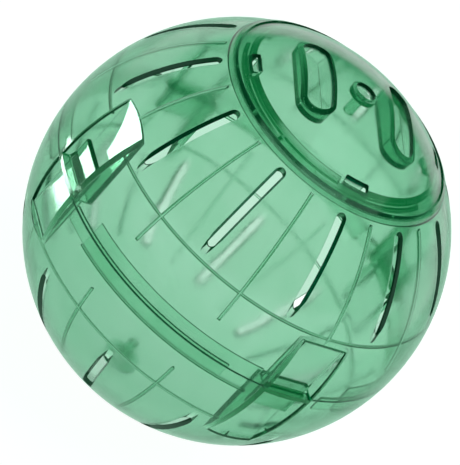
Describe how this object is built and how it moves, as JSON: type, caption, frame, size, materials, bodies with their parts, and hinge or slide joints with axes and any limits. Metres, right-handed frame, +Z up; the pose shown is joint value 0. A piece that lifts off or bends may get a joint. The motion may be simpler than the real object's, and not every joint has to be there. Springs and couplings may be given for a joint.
{
  "type": "hamster exercise ball",
  "caption": "Hollow ball of clear green plastic: slotted half shells that snap together at the equator, with a round bayonet lid in the upper one.",
  "frame": {"origin": "centre of the flat spot under the lower pole, on which the ball stands", "axes": "+Z up along the pole axis to the lid; +X and -X point at the two thumb pockets of the upper half, +Y and -Y at those of the lower half"},
  "size_m": [0.18, 0.18, 0.1794],
  "materials": {
    "clear_green_plastic": "transparent, moulded, polished"
  },
  "bodies": {
    "lower_shell": {"lower_shell": "clear_green_plastic"},
    "upper_shell": {"upper_shell": "clear_green_plastic"},
    "lid": {"lid": "clear_green_plastic"},
    "upper_snap_arm_a": {"upper_snap_arm_a": "clear_green_plastic"},
    "upper_snap_arm_b": {"upper_snap_arm_b": "clear_green_plastic"},
    "lower_snap_arm_a": {"lower_snap_arm_a": "clear_green_plastic"},
    "lower_snap_arm_b": {"lower_snap_arm_b": "clear_green_plastic"}
  },
  "joints": [
    {"name": "halves_part", "type": "slide", "parent": "lower_shell", "child": "upper_shell", "axis": [0, 0, 1], "range_m": [0, 0.12]},
    {"name": "lid_lift", "type": "slide", "parent": "upper_shell", "child": "lid", "axis": [0, 0, 1], "range_m": [0, 0.08]},
    {"name": "upper_snap_arm_a_press", "type": "hinge", "parent": "upper_shell", "child": "upper_snap_arm_a", "pos_m": [0, 0.0841, 0.11455], "axis": [-1, 0, 0], "range_deg": [0, 3.5], "stiffness_Nm_per_rad": 1},
    {"name": "upper_snap_arm_b_press", "type": "hinge", "parent": "upper_shell", "child": "upper_snap_arm_b", "pos_m": [0, -0.0841, 0.11455], "axis": [1, 0, 0], "range_deg": [0, 3.5], "stiffness_Nm_per_rad": 1},
    {"name": "lower_snap_arm_a_press", "type": "hinge", "parent": "lower_shell", "child": "lower_snap_arm_a", "pos_m": [0.0841, 0, 0.06455], "axis": [0, -1, 0], "range_deg": [0, 3.5], "stiffness_Nm_per_rad": 1},
    {"name": "lower_snap_arm_b_press", "type": "hinge", "parent": "lower_shell", "child": "lower_snap_arm_b", "pos_m": [-0.0841, 0, 0.06455], "axis": [0, 1, 0], "range_deg": [0, 3.5], "stiffness_Nm_per_rad": 1}
  ]
}
